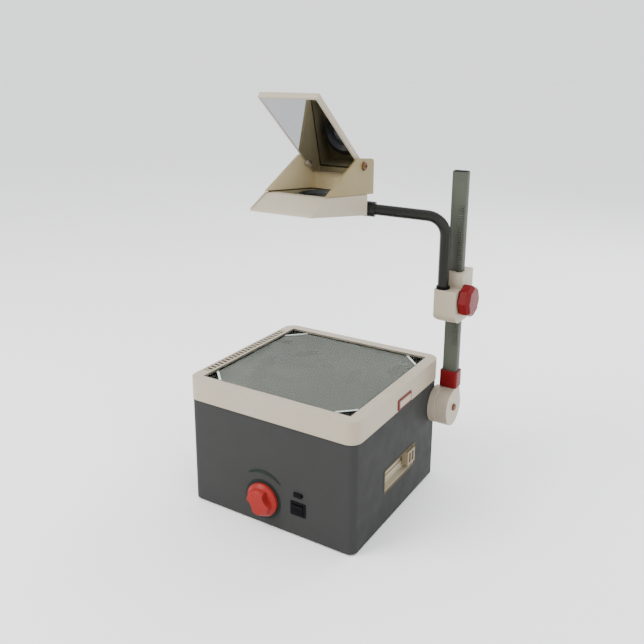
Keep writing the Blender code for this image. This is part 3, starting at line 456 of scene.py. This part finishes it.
def wound_copper(name, colour):
    """Enamelled wire laid side by side around the bobbin."""
    copper = Finish(name, colour, 0.34, 0.9)
    wave = copper.node("ShaderNodeTexWave")
    wave.bands_direction = "Z"
    wave.inputs["Scale"].default_value = 420
    copper.link(copper.place, wave.inputs["Vector"])
    copper.mottle(0.5, 40, (0.25, 0.08, 0.03))
    copper.relief(wave.outputs["Fac"], 0.0006, 0.9)
    copper.vary_gloss(0.1, 90)
    return copper.material


def make_finishes():
    """Every finish by its short name."""
    return {
        "housing": textured_paint("housing_paint", (0.0315, 0.0315, 0.0310)),
        "cream": moulded_plastic("cream_plastic", (0.330, 0.282, 0.210), (0.28, 0.23, 0.155)),
        "head_cream": moulded_plastic("head_cream_plastic", (0.335, 0.288, 0.215), (0.29, 0.24, 0.165)),
        "tan": moulded_plastic("tan_plastic", (0.200, 0.154, 0.060), (0.16, 0.12, 0.045)),
        # painted light: a paler copy of the tan for the head's inner faces, which lie in shade
        "lightened_inner_tan": moulded_plastic("lightened_inner_tan_plastic", (0.620, 0.520, 0.320), (0.52, 0.42, 0.23)),
        "pale_tan": moulded_plastic("pale_tan_plastic", (0.330, 0.280, 0.200), (0.28, 0.23, 0.15)),
        "olive": moulded_plastic("olive_trim", (0.070, 0.058, 0.028), (0.09, 0.074, 0.034), level=0.05),
        "black": moulded_plastic("black_plastic", (0.004, 0.004, 0.005), (0.006, 0.0055, 0.006),
                                 level=0.03),
        "mask_black": moulded_plastic("mask_black", (0.006, 0.007, 0.006), (0.009, 0.010, 0.008),
                                      roughness=0.85, level=0.0),
        # this ink also colours the ring of painted shade behind the adjusting knob
        "green_black": moulded_plastic("scale_ink_and_knob_shade", (0.007, 0.012, 0.010), (0.011, 0.016, 0.014),
                                       roughness=0.6, level=0.15),
        "white_line": moulded_plastic("white_line", (0.72, 0.73, 0.70), (0.62, 0.62, 0.57)),
        "bright_red": glossy_plastic("bright_red_plastic", (0.225, 0.018, 0.015), (0.17, 0.012, 0.010)),
        "red": glossy_plastic("red_plastic", (0.125, 0.006, 0.007), (0.09, 0.004, 0.005)),
        "column": brushed_metal("column_metal", (0.068, 0.073, 0.058), (12, 12, 0.25), metallic=0.2,
                                roughness=0.45, tint=(0.054, 0.057, 0.044), level=0.12),
        "tube": satin_paint("tube_paint", (0.0120, 0.0120, 0.0105), level=0.12),
        "dark_tan": moulded_plastic("dark_tan_plastic", (0.200, 0.160, 0.095), (0.16, 0.125, 0.07),
                                    worn=1.0),
        # painted light: a lighter tan for the well round the lens and its rim
        "well": moulded_plastic("well_lightened_plastic", (0.400, 0.340, 0.205), (0.31, 0.26, 0.15)),
        "black_metal": satin_paint("black_metal", (0.022, 0.024, 0.022), level=0.5),
        "steel": brushed_metal("zinc_steel", (0.52, 0.53, 0.54), (1, 8, 1), metallic=1.0,
                               roughness=0.34, tint=(0.40, 0.38, 0.34), level=0.5),
        "bronze": brushed_metal("bronze", (0.150, 0.075, 0.036), (6, 6, 6), metallic=0.85,
                                roughness=0.36, tint=(0.08, 0.035, 0.02), level=0.5),
        "rubber": soft_rubber("rubber", (0.018, 0.018, 0.018)),
        "glass": clear_glass("stage_glass", (0.95, 0.97, 0.95), index=1.03),
        "heat_glass": clear_glass("heat_glass", (0.80, 0.93, 0.90)),
        "lens_glass": clear_glass("lens_glass", (0.94, 0.97, 1.0), roughness=0.01, index=1.52),
        "fresnel": fresnel_plastic("fresnel_acrylic", (0.112, 0.116, 0.106)),
        "mirror": silvered("mirror_silver", (0.265, 0.275, 0.285)),
        "ceramic": ceramic("ceramic", (0.70, 0.67, 0.60)),
        "copper": wound_copper("copper_winding", (0.52, 0.20, 0.09)),
    }


# ---- mesh helpers ----
def mesh_from(points, faces):
    """A bmesh from points and from faces that list the points' places."""
    mesh = bmesh.new()
    made = [mesh.verts.new(point) for point in points]
    for face in faces:
        mesh.faces.new([made[index] for index in face])
    return mesh


def block(low, high):
    """A box given by two opposite corners."""
    mesh = bmesh.new()
    bmesh.ops.create_cube(mesh, size=1)
    low, high = Vector(low), Vector(high)
    size = Matrix.Diagonal((*(high - low), 1))
    bmesh.ops.transform(mesh, verts=mesh.verts, matrix=Matrix.Translation((low + high) / 2) @ size)
    return mesh


def along(axis, first, second, distance):
    """A point from two coordinates in a plane and one along its axis."""
    order = {
        "x": (distance, first, second),
        "y": (first, distance, second),
        "z": (first, second, distance),
    }
    return order[axis]


def band(outer, inner, low, high, axis):
    """A flat ring between two outlines that have the same number of points."""
    count = len(outer)
    points = [along(axis, *point, level)
              for level in (low, high) for line in (outer, inner) for point in line]
    faces = []
    for place in range(count):
        after = (place + 1) % count
        for first, second in ((0, 1), (1, 3), (3, 2), (2, 0)):
            faces.append([first * count + place, first * count + after,
                          second * count + after, second * count + place])
    return mesh_from(points, faces)


def slab(outline, low, high, axis):
    """An outline given a thickness."""
    count = len(outline)
    points = [along(axis, *point, level) for level in (low, high) for point in outline]
    faces = [list(range(count)), list(range(2 * count - 1, count - 1, -1))]
    for place in range(count):
        after = (place + 1) % count
        faces.append([place, after, count + after, count + place])
    return mesh_from(points, faces)


def rounded_rectangle(low, high, radius):
    """An outline between two corner points, with its corners rounded."""
    steps = 6
    left, right = low[0] + radius, high[0] - radius
    bottom, top = low[1] + radius, high[1] - radius
    points = []
    for x, y, start in ((right, top, 0), (left, top, 90), (left, bottom, 180), (right, bottom, 270)):
        for step in range(steps + 1):
            angle = math.radians(start + 90 * step / steps)
            points.append((x + radius * math.cos(angle), y + radius * math.sin(angle)))
    return points


def circle(centre, radius, steps=CIRCLE_STEPS):
    """The points of a circle, from the right and counter-clockwise."""
    angles = [2 * math.pi * step / steps for step in range(steps)]
    return [(centre[0] + radius * math.cos(angle), centre[1] + radius * math.sin(angle))
            for angle in angles]


def lathe(profile, segments):
    """Spins (radius, height) points around Z; a radius of zero closes an end."""
    mesh = bmesh.new()
    rings = []
    for radius, height in profile:
        line = circle((0, 0), radius, segments) if radius else [(0, 0)]
        rings.append([mesh.verts.new((*point, height)) for point in line])
    for below, above in zip(rings, rings[1:]):
        for step in range(segments):
            after = (step + 1) % segments
            if len(below) == 1:
                mesh.faces.new((below[0], above[after], above[step]))
            elif len(above) == 1:
                mesh.faces.new((below[step], below[after], above[0]))
            else:
                mesh.faces.new((below[step], below[after], above[after], above[step]))
    return mesh


def towards(direction, place):
    """Turns Z to a direction and moves to a place."""
    turn = Vector((0, 0, 1)).rotation_difference(Vector(direction)).to_matrix().to_4x4()
    return Matrix.Translation(Vector(place)) @ turn


def piece(name, mesh, finish, body, rounding=0.0, matrix=None):
    """Makes an object from a bmesh, gives it a finish, and lets it ride on a body."""
    if matrix is not None:
        bmesh.ops.transform(mesh, matrix=matrix, verts=mesh.verts)
    bmesh.ops.recalc_face_normals(mesh, faces=mesh.faces)
    for face in mesh.faces:
        face.smooth = True
    sharpest = math.radians(ROUNDING_ANGLE)
    if not rounding:
        for edge in mesh.edges:
            edge.smooth = len(edge.link_faces) == 2 and edge.calc_face_angle(0) < sharpest
    data = bpy.data.meshes.new(name)
    mesh.to_mesh(data)
    mesh.free()
    made = bpy.data.objects.new(name, data)
    bpy.context.scene.collection.objects.link(made)
    data.materials.append(FINISHES[finish])
    if rounding:
        bevel = made.modifiers.new("rounding", "BEVEL")
        bevel.width = rounding
        bevel.segments = ROUNDING_STEPS
        bevel.limit_method = "ANGLE"
        bevel.angle_limit = sharpest
        bevel.harden_normals = True
    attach(made, body)
    return made


def rounded_node(node, finish, rounding):
    """A CAD node's own shape with its facets merged and its edges rounded, standing for the node."""
    source = frame["nodes"][node]
    mesh = mesh_from([vertex.co for vertex in source.data.vertices],
                     [face.vertices for face in source.data.polygons])
    bmesh.ops.remove_doubles(mesh, verts=mesh.verts, dist=MERGE_DISTANCE)
    bmesh.ops.dissolve_limit(mesh, angle_limit=math.radians(FLAT_ANGLE),
                             verts=mesh.verts, edges=mesh.edges)
    made = piece(node + "_finished", mesh, finish, source["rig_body"], rounding)
    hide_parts(node)
    return made


def repaint(made, finish, chosen):
    """Gives a second finish to the faces whose middle a test picks out."""
    made.data.materials.append(FINISHES[finish])
    for face in made.data.polygons:
        if chosen(face.center, face.normal):
            face.material_index = len(made.data.materials) - 1


def painted_node(node, finish):
    """A CAD node that keeps its shape and takes a finish."""
    slots = frame["nodes"][node].data.materials
    slots.clear()
    slots.append(FINISHES[finish])


def cross_tool(radius, height):
    """Two crossed bars that cut the driver's slots into a screw head."""
    cross = bmesh.new()
    reach, half = radius * 0.60, radius * 0.11
    for x, y in ((reach, half), (half, reach)):
        bar = block((-x, -y, height * 0.35), (x, y, height * 2))
        data = bpy.data.meshes.new("bar")
        bar.to_mesh(data)
        bar.free()
        cross.from_mesh(data)
        bpy.data.meshes.remove(data)
    data = bpy.data.meshes.new("cross")
    cross.to_mesh(data)
    cross.free()
    tool = bpy.data.objects.new("cross", data)
    bpy.context.scene.collection.objects.link(tool)
    return tool


def screw(name, body, place, direction, radius, finish="steel"):
    """A domed screw head with a cross cut into it."""
    height = radius * 0.55
    sunk = 0.0004
    profile = [(0, -sunk), (radius, -sunk), (radius, height * 0.35), (radius * 0.86, height * 0.75),
               (radius * 0.55, height * 0.95), (0, height)]
    head = piece(name, lathe(profile, 32), finish, body)
    tool = cross_tool(radius, height)
    cutter = head.modifiers.new("cross", "BOOLEAN")
    cutter.operation = "DIFFERENCE"
    cutter.solver = "EXACT"
    cutter.use_self = True
    cutter.object = tool
    graph = bpy.context.evaluated_depsgraph_get()
    cut = bpy.data.meshes.new_from_object(head.evaluated_get(graph))
    head.modifiers.clear()
    head.data = cut
    bpy.data.objects.remove(tool)
    head.data.transform(towards(direction, place))
    return head


FINISHES = make_finishes()

# ---- nodes that get rounded edges: finish, and the rounding in metres ----
ROUNDED = {
    "housing": ("housing", 0.0010),
    "stage_frame": ("cream", 0.0014),
    "rail_vent": ("cream", 0.0003),
    "latch_bezel": ("red", 0.0003),
    "latch_button": ("cream", 0.0006),
    "hinge_leaf_housing": ("steel", 0.0002),
    "hinge_leaf_lid": ("steel", 0.0002),
    "adjusting_knob": ("bright_red", 0.0010),
    "switch_bezel": ("black", 0.0004),
    "rocker_switch": ("black", 0.0005),
    "mode_slider": ("black", 0.0005),
    "inlet_socket": ("black", 0.0004),
    "changer_tray": ("pale_tan", 0.0004),
    "changer_lever": ("dark_tan", 0.0006),
    "pivot_boss": ("cream", 0.0008),
    "column_knuckle": ("cream", 0.0014),
    "pivot_screw": ("bronze", 0.0003),
    "column": ("column", 0.0004),
    "lock_collar": ("red", 0.0010),
    "rack": ("column", 0.00015),
    "carriage": ("cream", 0.0012),
    "focus_knob": ("red", 0.0012),
    "focus_pinion": ("steel", 0.00015),
    "head_bracket": ("tube", 0.0006),
    "head_tray": ("head_cream", 0.0006),
    "head_frame": ("tan", 0.0007),
    "mirror_frame": ("cream", 0.0007),
    "mirror_glass": ("mirror", 0.0004),
    "lens_barrel": ("black_metal", 0.0003),
    "arm_bush": ("black", 0.0003),
    "base_plate": ("steel", 0.0002),
    "stage_glass": ("glass", 0.0003),
    "lamp_carrier": ("ceramic", 0.0003),
    "lamp_rail": ("steel", 0.0002),
    "optics_bridge": ("steel", 0.0003),
    "fan_frame": ("black", 0.0004),
    "fan_impeller": ("black", 0.0002),
    "transformer_core": ("steel", 0.0004),
    "transformer_coil": ("copper", 0.0008),
}

# ---- nodes that keep their own mesh, by finish ----
PAINTED = {
    "mask_black": ("stage_mask",),
    "steel": ("hinge_pin",),
    "rubber": ("foot_front_left", "foot_front_right", "foot_rear_left", "foot_rear_right"),
    "lens_glass": ("lamp_1", "lamp_2", "condenser_lens", "lens_upper", "lens_lower"),
    "mirror": ("reflector_1", "reflector_2"),
    "heat_glass": ("heat_glass",),
    "black_metal": ("condenser_ring",),
    "tube": ("arm_tube",),
}


# ---- stage ----
def dress_stage():
    """A gasket round the glass and a white line along each corner of the mask."""
    low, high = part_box("stage_glass")
    middle = (low + high) / 2
    outer = rounded_rectangle(low[:2], high[:2], 0.0006)
    inner = rounded_rectangle((low.x + GASKET_WIDTH, low.y + GASKET_WIDTH),
                              (high.x - GASKET_WIDTH, high.y - GASKET_WIDTH), 0.0004)
    gasket = band(outer, inner, high.z + SKIN, high.z + 0.0007, "z")
    piece("stage_gasket", gasket, "rubber", "lid", rounding=0.0002)
    mask_low, mask_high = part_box("stage_mask")
    inset = MASK_MARGIN + MASK_CORNER / 2 - 0.0012
    x = (mask_high.x - mask_low.x) / 2 - inset
    y = (mask_high.y - mask_low.y) / 2 - inset
    half = (MASK_CORNER * math.sqrt(2) - 0.0030) / 2
    for number, (side, end) in enumerate(((-1, -1), (1, -1), (1, 1), (-1, 1)), 1):
        centre = Vector((middle.x + side * x, middle.y + end * y, mask_high.z + SKIN))
        line = block((-half, -LINE_HALF, -SKIN), (half, LINE_HALF, SKIN))
        turn = Matrix.Translation(centre) @ Matrix.Rotation(math.radians(-45 * side * end), 4, "Z")
        piece("mask_line_%d" % number, line, "white_line", "lid", matrix=turn)


def fresnel_rings():
    """A sheet with fine saw-tooth rings, cut to the Fresnel lens's rectangle."""
    low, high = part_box("fresnel_lens")
    middle = (low + high) / 2
    reach = math.hypot(high.x - low.x, high.y - low.y) / 2
    profile = [(0, high.z)]
    for ring in range(1, int(reach / FRESNEL_PITCH) + 2):
        radius = FRESNEL_PITCH * ring
        profile += [(radius - 0.0002, high.z - FRESNEL_DEPTH), (radius, high.z - 0.00005)]
    mesh = lathe(profile, 96)
    bmesh.ops.transform(mesh, matrix=Matrix.Translation((middle.x, middle.y, 0)), verts=mesh.verts)
    for axis, place, way in ((0, low, -1), (0, high, 1), (1, low, -1), (1, high, 1)):
        normal = [0, 0, 0]
        normal[axis] = way
        bmesh.ops.bisect_plane(mesh, geom=mesh.verts[:] + mesh.edges[:] + mesh.faces[:],
                               plane_co=place, plane_no=normal, clear_outer=True)
    rim = [edge for edge in mesh.edges if len(edge.link_faces) == 1]
    walls = bmesh.ops.extrude_edge_only(mesh, edges=rim)
    for item in walls["geom"]:
        if isinstance(item, bmesh.types.BMVert):
            item.co.z = low.z
    base = [edge for edge in mesh.edges if len(edge.link_faces) == 1]
    bmesh.ops.contextual_create(mesh, geom=base)
    made = piece("fresnel_rings", mesh, "fresnel", "lid")
    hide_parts("fresnel_lens")


def dress_rail():
    """The dark gaps between the rail's ribs."""
    low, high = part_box("rail_vent")
    floor = high.z - 0.0018
    rim = 0.0006
    shadow = block((low.x + rim, low.y + rim, floor + SKIN), (high.x - rim, high.y - rim, floor + rim))
    piece("rail_shadow", shadow, "black", "lid", rounding=0.0001)


# ---- front and sides ----
def knob_scale(centre, face):
    """A curved wedge over the knob: it swells from its left end and closes on the right."""
    steps = 24
    above, below = [], []
    for step in range(steps + 1):
        share = step / steps
        angle = math.radians(SCALE_START - SCALE_SWEEP * share)
        swell = math.sin(math.pi * (0.12 + 0.62 * share)) * (1 - share ** 6)
        half = 0.0006 + 0.0030 * swell
        for line, radius in ((above, SCALE_RADIUS + half), (below, SCALE_RADIUS - half)):
            line.append((centre[0] + radius * math.cos(angle), centre[1] + radius * math.sin(angle)))
    wedge = slab(above + below[::-1], face - 0.0006, face - SKIN, "y")
    piece("knob_scale", wedge, "green_black", "base")


def dress_front():
    """A dark ring of painted shade behind the knob, the scale over it and grips on the rocker."""
    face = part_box("housing")[0].y
    low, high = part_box("adjusting_knob")
    centre = ((low.x + high.x) / 2, (low.z + high.z) / 2)
    inner, outer = (circle(centre, radius) for radius in SHADE_RING_RADII)
    # painted shade: a flat dark ring stands for the shade round the knob
    piece("knob_shade_ring", band(outer, inner, face - 0.0005, face - SKIN, "y"), "green_black", "base",
          rounding=0.0001)
    knob_scale(centre, face)
    low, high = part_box("rocker_switch")
    for row in range(3):
        height = low.z + 0.0027 + 0.0016 * row
        depth = low.y + 0.00055 + 0.0004 * row
        rib = block((low.x + 0.0030, depth - 0.0003, height - 0.00035),
                    (high.x - 0.0030, depth + 0.0007, height + 0.00035))
        piece("rocker_rib_%d" % (row + 1), rib, "black", "rocker", rounding=0.0002)


def dress_changer():
    """The olive border of the lamp changer's recess, and the shutter that closes its slot."""
    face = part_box("housing")[1].x
    low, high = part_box("changer_tray")

    def inset(rim, radius):
        return rounded_rectangle((low.y + rim, low.z + rim), (high.y - rim, high.z - rim), radius)

    border = band(inset(0.0028, 0.0060), inset(0.0062, 0.0030), face + SKIN, face + 0.0009, "x")
    piece("changer_border", border, "olive", "base", rounding=0.0003)
    front = low.x - 0.0003
    shutter = block((front - SHUTTER_DEPTH, low.y + 0.0160, low.z + 0.0190),
                    (front, high.y + 0.0020, high.z - 0.0185))
    piece("changer_shutter", shutter, "pale_tan", "changer", rounding=0.0003)


# ---- back, left side and underside ----
def dress_case():
    """Screws that hold the housing's back and the base plate."""
    low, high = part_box("housing")
    columns = (low.x + 0.018, (low.x + high.x) / 2, high.x - 0.018)
    places = [(x, high.y + SKIN, z) for x in columns for z in (0.016, 0.190)]
    for number, place in enumerate(places, 1):
        screw("case_screw_%d" % number, "base", place, (0, 1, 0), 0.0032)
    low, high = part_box("base_plate")
    rows = (-0.085, 0.000, 0.085)
    places = [(x, y, low.z - SKIN) for x in (low.x + 0.008, high.x - 0.008) for y in rows]
    for number, place in enumerate(places, 1):
        screw("plate_screw_%d" % number, "base", place, (0, 0, -1), 0.0030)


def dress_hinge():
    """Four screws through each leaf of the stage frame's hinge."""
    leaf = 0.0015
    margin = 0.024
    for body, shell, node, height in (("base", "housing", "hinge_leaf_housing", 0.1905),
                                      ("lid", "stage_frame", "hinge_leaf_lid", 0.2175)):
        low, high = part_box(node)
        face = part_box(shell)[0].x - leaf
        for place in range(4):
            y = low.y + margin + (high.y - low.y - 2 * margin) * place / 3
            screw("%s_hinge_screw_%d" % (body, place + 1), body, (face - SKIN, y, height),
                  (-1, 0, 0), 0.0026)


def dress_inlet():
    """The mains inlet's three blades."""
    low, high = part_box("inlet_socket")
    middle = (low.x + high.x) / 2
    half_width, half_height = 0.0012, 0.0022
    for number, (x, z) in enumerate(((-0.0070, 0.0370), (0.0070, 0.0370), (0.0, 0.0420)), 1):
        blade = block((middle + x - half_width, low.y + 0.0030, z - half_height),
                      (middle + x + half_width, high.y - 0.0062, z + half_height))
        piece("inlet_blade_%d" % number, blade, "steel", "base", rounding=0.0004)


# ---- column and carriage ----
def dress_column():
    """A plug in the column's top and the screws of the carriage's cover, on its inner side."""
    low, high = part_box("column")
    rim = 0.0008
    outline = rounded_rectangle((low.x + rim, low.y + rim), (high.x - rim, high.y - rim), 0.0016)
    piece("column_plug", slab(outline, high.z + SKIN, high.z + 0.0016, "z"), "black", "column",
          rounding=0.0006)
    low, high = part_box("carriage")
    for number, height in enumerate((low.z + 0.032, high.z - 0.014), 1):
        screw("carriage_screw_%d" % number, "carriage", (low.x - SKIN, high.y - 0.018, height),
              (-1, 0, 0), 0.0034, "bronze")


# ---- projection head ----
def paint_tray():
    """The well round the lens, with its rim, is painted lighter than the rest of the tray: painted
    light in the recess.
    """
    low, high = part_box("head_tray")
    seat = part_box("lens_barrel")[0].z
    wall = 0.0042
    well_front = low.y + 0.066

    def in_well(middle, normal):
        across = low.x + wall * 0.9 < middle.x < high.x - wall * 0.9
        hollow = across and middle.y < high.y - 0.0025 and normal.z > -0.5 and middle.z > seat - 0.014
        rim = normal.z > 0.5 and middle.z > seat + 0.010
        return middle.y > well_front and (hollow or rim)

    repaint(SHOWN["head_tray"], "well", in_well)


def paint_cheeks():
    """The head frame's faces that look inwards, and its shelf, are painted paler than the outside:
    painted light that lifts the shade inside the head.
    """
    low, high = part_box("head_frame")
    wall = 0.0050

    def lightened_face(middle, normal):
        cheek = abs(normal.x) > 0.9 and low.x + 0.0005 < middle.x < high.x - 0.0005
        back = normal.y < -0.9 and low.x + wall < middle.x < high.x - wall
        shelf = normal.z > 0.9 and middle.z < high.z - 0.04
        return cheek or back or shelf

    repaint(SHOWN["head_frame"], "lightened_inner_tan", lightened_face)


def shaded_rim_bead():
    """A bead on the tray's rim that closes the seam under the cheeks and the rear shelf; its dark olive
    is painted shade along the cheeks' rims.
    """
    low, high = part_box("head_tray")
    cheek_low, cheek_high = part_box("head_frame")
    outer, inner = BEAD_SIDES
    rim = cheek_low.z + 0.0013
    front = low.y + 0.048
    rear = high.y - SKIN
    lift = SEAM_SLOPE * (rear - front)
    outline = [(front, rim + lift + SKIN), (rear, rim + SKIN), (rear, rim + 0.0030),
               (front, rim + lift + 0.0024)]
    left = slab(outline, cheek_low.x + outer, cheek_low.x + inner, "x")
    right = slab(outline, cheek_high.x - inner, cheek_high.x - outer, "x")
    end = inner + 0.0002
    back = block((cheek_low.x + end, rear - 0.0024, rim + SKIN),
                 (cheek_high.x - end, rear, rim + 0.0030))
    # the beads close the seam, and their dark olive is painted shade along the rims
    for name, bead in (("left", left), ("right", right), ("rear", back)):
        piece("shaded_rim_bead_" + name, bead, "olive", "arm", rounding=0.0003)


def mirror_pivots():
    """Screws with a cross, in place of the mirror's plain pivot screws."""
    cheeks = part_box("head_frame")
    for side, way, cheek in (("left", -1, cheeks[0].x), ("right", 1, cheeks[1].x)):
        low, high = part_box("mirror_screw_" + side)
        middle = (low + high) / 2
        head = screw("mirror_pivot_" + side, "arm", (cheek + way * 0.0006, middle.y, middle.z),
                     (way, 0, 0), (high.y - low.y) / 2, "bronze")
        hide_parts("mirror_screw_" + side)


def lens_grip():
    """A milled ring round the lens."""
    low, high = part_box("lens_barrel")
    middle = (low + high) / 2
    radius = (high.x - low.x) / 2
    seat = high.z - 0.0217
    for rib in range(GRIP_RIBS):
        bar = block((radius - 0.0009, -0.0008, seat + 0.0012), (radius + 0.0004, 0.0008, seat + 0.0125))
        turn = Matrix.Rotation(2 * math.pi * rib / GRIP_RIBS, 4, "Z")
        piece("lens_grip_%02d" % (rib + 1), bar, "black_metal", "arm",
              matrix=Matrix.Translation((middle.x, middle.y, 0)) @ turn)


make_camera()
make_studio()
SHOWN = {node_name: rounded_node(node_name, finish_name, width)
         for node_name, (finish_name, width) in ROUNDED.items()}
for finish_name, node_names in PAINTED.items():
    for node_name in node_names:
        painted_node(node_name, finish_name)
dress_stage()
fresnel_rings()
dress_rail()
dress_front()
dress_changer()
dress_case()
dress_hinge()
dress_inlet()
dress_column()
paint_tray()
paint_cheeks()
shaded_rim_bead()
mirror_pivots()
lens_grip()
